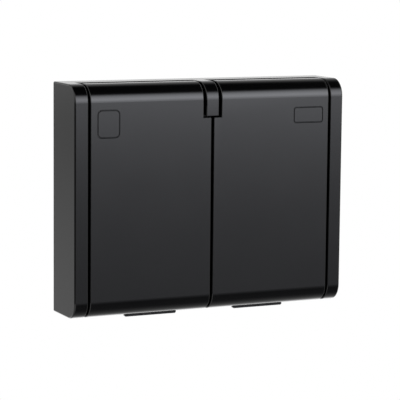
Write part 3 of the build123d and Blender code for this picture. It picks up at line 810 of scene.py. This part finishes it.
class SOCKET_OT_screws(bpy.types.Operator):
    """All screws, with domed heads, cross recesses and threads."""

    bl_idname = "socket.screws"
    bl_label = "Screws"

    def execute(self, context):
        """Grow each group of screws on its seats."""
        sizes = context.scene.socket_detail
        tree = make_screw_tree()
        for node, (screw, places) in screw_seats().items():
            piece = points_piece(f"{node}_turned", places)
            grow(piece, tree, {
                "Head radius": screw.head,
                "Head height": screw.rise,
                "Shank radius": screw.shank,
                "Shank length": screw.reach,
                "Thread pitch": sizes.thread_pitch,
                "Thread depth": sizes.thread_depth,
                "Cross width": sizes.cross_width * screw.head / COVER_SCREW.head,
                "Cross depth": sizes.cross_depth * screw.head / COVER_SCREW.head,
                "Material": bpy.data.materials["bright_steel"],
            })
            shade(piece, SCREW_SHARP_FROM)
            place(piece, node, "bright_steel")
        return {"FINISHED"}


# Wire of the lid springs, its clearance round the pin, and the steps round the wire and each turn
WIRE_RADIUS = 0.00035
PIN_CLEARANCE = 0.0006
WIRE_SIDES = 10
TURN_STEPS = 28

# Leaf springs: rounding of the edges
LEAF_BREAK = 0.00005


def make_wire_tree():
    """Round wire along the edges of a path."""
    tree, source, result = new_tree(
        "GeometryNodeTree", "wire_on_path",
        {"Geometry": "Geometry", "Wire radius": "Float", "Material": "Material"},
        {"Geometry": "Geometry"})
    value = source.outputs
    path = fed(tree, "GeometryNodeMeshToCurve", Mesh=value["Geometry"])
    section = fed(tree, "GeometryNodeCurvePrimitiveCircle", {"mode": "RADIUS"},
                  Resolution=WIRE_SIDES, Radius=value["Wire radius"])
    wire = fed(tree, "GeometryNodeCurveToMesh", Curve=path.outputs[0],
               Profile_Curve=section.outputs[0], Fill_Caps=True)
    smooth = fed(tree, "GeometryNodeSetShadeSmooth", Geometry=wire.outputs[0])
    end_tree(tree, result, smooth.outputs[0], value["Material"])
    return tree


def spring_paths(side, turns):
    """The wire's path round the pin of one lid, and the path of its leg on the lid."""
    low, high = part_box(f"{side}_lid_spring")
    pin_low, pin_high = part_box(f"{side}_hinge_pin")
    axis_y, axis_z = midway(pin_low.y, pin_high.y), midway(pin_low.z, pin_high.z)
    radius = (pin_high.z - pin_low.z) / 2 + PIN_CLEARANCE
    first, last = low.x + WIRE_RADIUS, high.x - WIRE_RADIUS
    count = int(turns * TURN_STEPS + TURN_STEPS / 2)
    # From the lid leg under the axis, round the pin, to the trough leg in front of it
    start, sweep = -pi / 2, 2 * pi * (turns - 0.25)
    coil = []
    for step in range(count + 1):
        angle = start + sweep * step / count
        coil.append((
            first + (last - first) * step / count,
            axis_y + radius * cos(angle),
            axis_z + radius * sin(angle),
        ))
    coil.append((last, axis_y - radius, low.z))
    under = axis_z - radius
    return coil, [(first, axis_y + WIRE_RADIUS, under), (first, low.y, under)]


def wire_piece(name, points, tree):
    """A piece of spring wire along points."""
    mesh = bpy.data.meshes.new(name)
    mesh.from_pydata(points, [(index, index + 1) for index in range(len(points) - 1)], [])
    piece = linked(name, mesh)
    grow(piece, tree, {
        "Wire radius": WIRE_RADIUS,
        "Material": bpy.data.materials["bright_steel"],
    })
    return piece


class SOCKET_OT_springs(bpy.types.Operator):
    """Lid springs wound on the hinge pins, and the shutters' leaf springs."""

    bl_idname = "socket.springs"
    bl_label = "Springs"

    def execute(self, context):
        """Wind each coil on the housing with a leg on the lid, and soften each leaf spring."""
        sizes = context.scene.socket_detail
        tree = make_wire_tree()
        for side in SIDES:
            node = f"{side}_lid_spring"
            coil, leg = spring_paths(side, sizes.coil_turns)
            piece = wire_piece(f"{node}_coil", coil, tree)
            place(piece, node, "bright_steel")
            piece = wire_piece(f"{node}_leg", leg, tree)
            coat(piece, "bright_steel")
            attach(piece, f"{side}_lid")
            leaf = f"{side}_shutter_spring"
            piece = linked(f"{leaf}_leaf", cad_mesh(leaf))
            soften(piece, LEAF_BREAK)
            coat(piece, "bright_steel")
            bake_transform(piece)
            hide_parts(leaf)
        return {"FINISHED"}


# Stage

FLOOR_SIDES = 128
FLOOR_PAINT = (0.85, 0.85, 0.84)
FLOOR_ROUGHNESS = 0.8
SEEN_WHITE = (1, 1, 1)

# The camera's sensor in millimetres, and the nearest distance that it shows in metres
SENSOR_WIDTH = 36.0
NEAREST_SEEN = 0.01

# Light levels by elevation in degrees: a wide cool softbox in front, a low backdrop behind, and
# soft walls at the sides
FRONT_LIGHT = (
    (-90, 0.17), (-75, 0.16), (-60, 0.11), (-40, 0.10), (-26, 0.08), (-16, 0.31), (-11.5, 0.43),
    (-9, 0.58), (-7.5, 0.68), (-6.3, 0.82), (-5.3, 1.13), (-4.6, 1.9), (-3.8, 2.9), (-1, 3.2),
    (3, 3.4), (10, 4.9), (18, 4.8), (28, 3.7), (37, 2.0), (42, 0.5), (47, 0.0),
)
BACK_LIGHT = (
    (-90, 0.20), (-79, 0.33), (-65, 0.42), (-57, 0.6), (-47, 1.1), (-40, 1.7), (-28, 2.1),
    (-20, 1.5), (-15, 0.75), (-11, 0.55), (-9, 0.52), (-7.4, 0.45), (-6, 0.37), (-5, 0.34),
    (-2, 0.8), (4, 1.0), (9, 0.9), (14, 0.55), (25, 0.6), (35, 0.55), (45, 0.34), (53, 0.15),
    (58, 0.03), (64, 0.0),
)
SIDE_LIGHT = (
    (-90, 0.3), (-60, 0.7), (-30, 1.0), (-16, 0.8), (-8, 0.7), (0, 0.7), (12, 1.1), (30, 1.6),
    (50, 1.1), (64, 0.3), (72, 0.0),
)
COOL_TINT = (0.97, 0.985, 1.05)
PLAIN_TINT = (1.0, 1.0, 1.0)
BRIGHTEST = 5.5

# Soft steps from 0 to 1 over the X or Y part of the direction towards a light
FRONT_TO_BACK = (-0.4, 0.3)
LEFT_SIDE = (0.31, 0.1)
RIGHT_SIDE = (0.53, 0.66)
NOT_BEHIND = (0.8, 0.55)

# A dim flag low on the left, which the rounded left edge of the cover mirrors in the view
FLAG_EDGE = (0.02, -0.2)
FLAG_TOP = (-0.045, -0.065)
FLAG_FOOT = (-0.225, -0.2)
FLAG_SHADE = 0.92
BLACK = (0, 0, 0)


def light_ramp(tree, elevation, levels, tint):
    """A ramp of tinted light levels over the elevation; returns its output."""
    node = fed(tree, "ShaderNodeValToRGB")
    stops = node.color_ramp.elements
    while len(stops) < len(levels):
        stops.new(0.5)
    for stop, (degrees, level) in zip(stops, levels):
        stop.position = degrees / 180 + 0.5
        stop.color = (*[level / BRIGHTEST * part for part in tint], 1)
    tree.links.new(elevation, node.inputs[0])
    return node.outputs["Color"]


def soft_step(tree, value, ends):
    """A smooth rise from 0 to 1 between two values; returns its output."""
    node = fed(tree, "ShaderNodeMapRange", {"interpolation_type": "SMOOTHSTEP"}, Value=value,
               From_Min=ends[0], From_Max=ends[1])
    return node.outputs[0]


def light_around(sky):
    """The light from each direction, as a share of the brightest; returns the colour output."""
    towards = fed(sky, "ShaderNodeTexCoord").outputs["Generated"]
    across, ahead, rise = fed(sky, "ShaderNodeSeparateXYZ", Vector=towards).outputs
    elevation = reckon(sky, "ADD", reckon(sky, "DIVIDE", reckon(sky, "ARCSINE", rise), pi), 0.5)
    behind = soft_step(sky, ahead, FRONT_TO_BACK)
    not_behind = soft_step(sky, ahead, NOT_BEHIND)
    left = reckon(sky, "MULTIPLY", soft_step(sky, across, LEFT_SIDE), not_behind)
    aside = reckon(sky, "MAXIMUM", left, soft_step(sky, across, RIGHT_SIDE))
    around = mixed(sky, behind, light_ramp(sky, elevation, FRONT_LIGHT, COOL_TINT),
                   light_ramp(sky, elevation, BACK_LIGHT, PLAIN_TINT))
    around = mixed(sky, aside, around, light_ramp(sky, elevation, SIDE_LIGHT, PLAIN_TINT))
    flag = reckon(sky, "MULTIPLY", not_behind, FLAG_SHADE)
    for value, ends in ((across, FLAG_EDGE), (rise, FLAG_TOP), (rise, FLAG_FOOT)):
        flag = reckon(sky, "MULTIPLY", flag, soft_step(sky, value, ends))
    return mixed(sky, flag, around, BLACK)


def make_surroundings():
    """A world that the camera sees as white, and that lights the object from all round."""
    world = bpy.data.worlds.new("white_studio")
    world.use_nodes = True
    sky = world.node_tree
    studio = sky.nodes["Background"]
    studio.inputs["Strength"].default_value = BRIGHTEST
    sky.links.new(light_around(sky), studio.inputs["Color"])
    seen = fed(sky, "ShaderNodeBackground", Color=(*SEEN_WHITE, 1))
    path = fed(sky, "ShaderNodeLightPath")
    either = fed(sky, "ShaderNodeMixShader")
    sky.links.new(path.outputs["Is Camera Ray"], either.inputs[0])
    sky.links.new(studio.outputs[0], either.inputs[1])
    sky.links.new(seen.outputs[0], either.inputs[2])
    sky.links.new(either.outputs[0], sky.nodes["World Output"].inputs["Surface"])
    return world


def make_floor(drop, radius):
    """A round pale floor, which the glossy lids don't mirror."""
    form = bmesh.new()
    bmesh.ops.create_circle(form, cap_ends=True, radius=radius, segments=FLOOR_SIDES)
    bmesh.ops.translate(form, verts=form.verts, vec=(0, 0, -drop))
    floor = linked("studio_floor", mesh_of(form, "studio_floor"))
    paint = bpy.data.materials.new("pale_floor")
    paint.use_nodes = True
    shader = paint.node_tree.nodes["Principled BSDF"]
    shader.inputs["Base Color"].default_value = (*FLOOR_PAINT, 1)
    shader.inputs["Roughness"].default_value = FLOOR_ROUGHNESS
    coat(floor, paint.name)
    floor.visible_glossy = False
    return floor


def make_camera(where, target, roll, focal_length):
    """A camera that stands at a place and looks at a target, turned about its view axis."""
    lens = bpy.data.cameras.new("camera")
    lens.lens = focal_length
    lens.sensor_width = SENSOR_WIDTH
    lens.sensor_fit = "HORIZONTAL"
    lens.clip_start = NEAREST_SEEN
    camera = linked("camera", lens)
    forward = (target - where).normalized()
    right = forward.cross(Vector((0, 0, 1))).normalized()
    up = right.cross(forward)
    side_axis = cos(roll) * right + sin(roll) * up
    up_axis = -sin(roll) * right + cos(roll) * up
    turn = Matrix((side_axis, up_axis, -forward)).transposed()
    camera.matrix_world = Matrix.Translation(where) @ turn.to_4x4()
    return camera


class SOCKET_OT_stage(bpy.types.Operator):
    """Pale floor, white surroundings with soft light, and the camera."""

    bl_idname = "socket.stage"
    bl_label = "Stage"

    def execute(self, context):
        """Set the studio."""
        scene = context.scene
        stage = scene.socket_stage
        make_floor(stage.floor_drop, stage.floor_radius)
        scene.world = make_surroundings()
        scene.camera = make_camera(Vector(stage.camera_place), Vector(stage.camera_target),
                                   stage.camera_roll, stage.camera_lens)
        scene.view_settings.view_transform = "Standard"
        return {"FINISHED"}


# The add-on

GROUPS = {
    "socket_finish": SocketFinish,
    "socket_detail": SocketDetail,
    "socket_stage": SocketStage,
}
STEPS = (
    SOCKET_OT_finishes,
    SOCKET_OT_cover,
    SOCKET_OT_lids,
    SOCKET_OT_seals,
    SOCKET_OT_wells,
    SOCKET_OT_contacts,
    SOCKET_OT_screws,
    SOCKET_OT_springs,
    SOCKET_OT_stage,
)


class SOCKET_PT_panel(bpy.types.Panel):
    """The socket's steps and sizes."""

    bl_idname = "SOCKET_PT_panel"
    bl_label = "Outdoor socket"
    bl_space_type = "VIEW_3D"
    bl_region_type = "UI"
    bl_category = "Socket"

    def draw(self, context):
        """List the steps, then the sizes and colours."""
        for step in STEPS:
            self.layout.operator(step.bl_idname)
        for name in GROUPS:
            group = getattr(context.scene, name)
            for key in group.bl_rna.properties.keys():
                if key not in ("rna_type", "name"):
                    self.layout.prop(group, key)


CLASSES = (*GROUPS.values(), *STEPS, SOCKET_PT_panel)


def register():
    """Register the classes and their properties."""
    for item in CLASSES:
        bpy.utils.register_class(item)
    for name, group in GROUPS.items():
        setattr(bpy.types.Scene, name, PointerProperty(type=group))


def unregister():
    """Remove the properties and classes."""
    for name in GROUPS:
        delattr(bpy.types.Scene, name)
    for item in reversed(CLASSES):
        bpy.utils.unregister_class(item)


def main():
    """Run every step in order."""
    register()
    for step in STEPS:
        family, name = step.bl_idname.split(".")
        getattr(getattr(bpy.ops, family), name)()


if __name__ == "__main__":
    main()
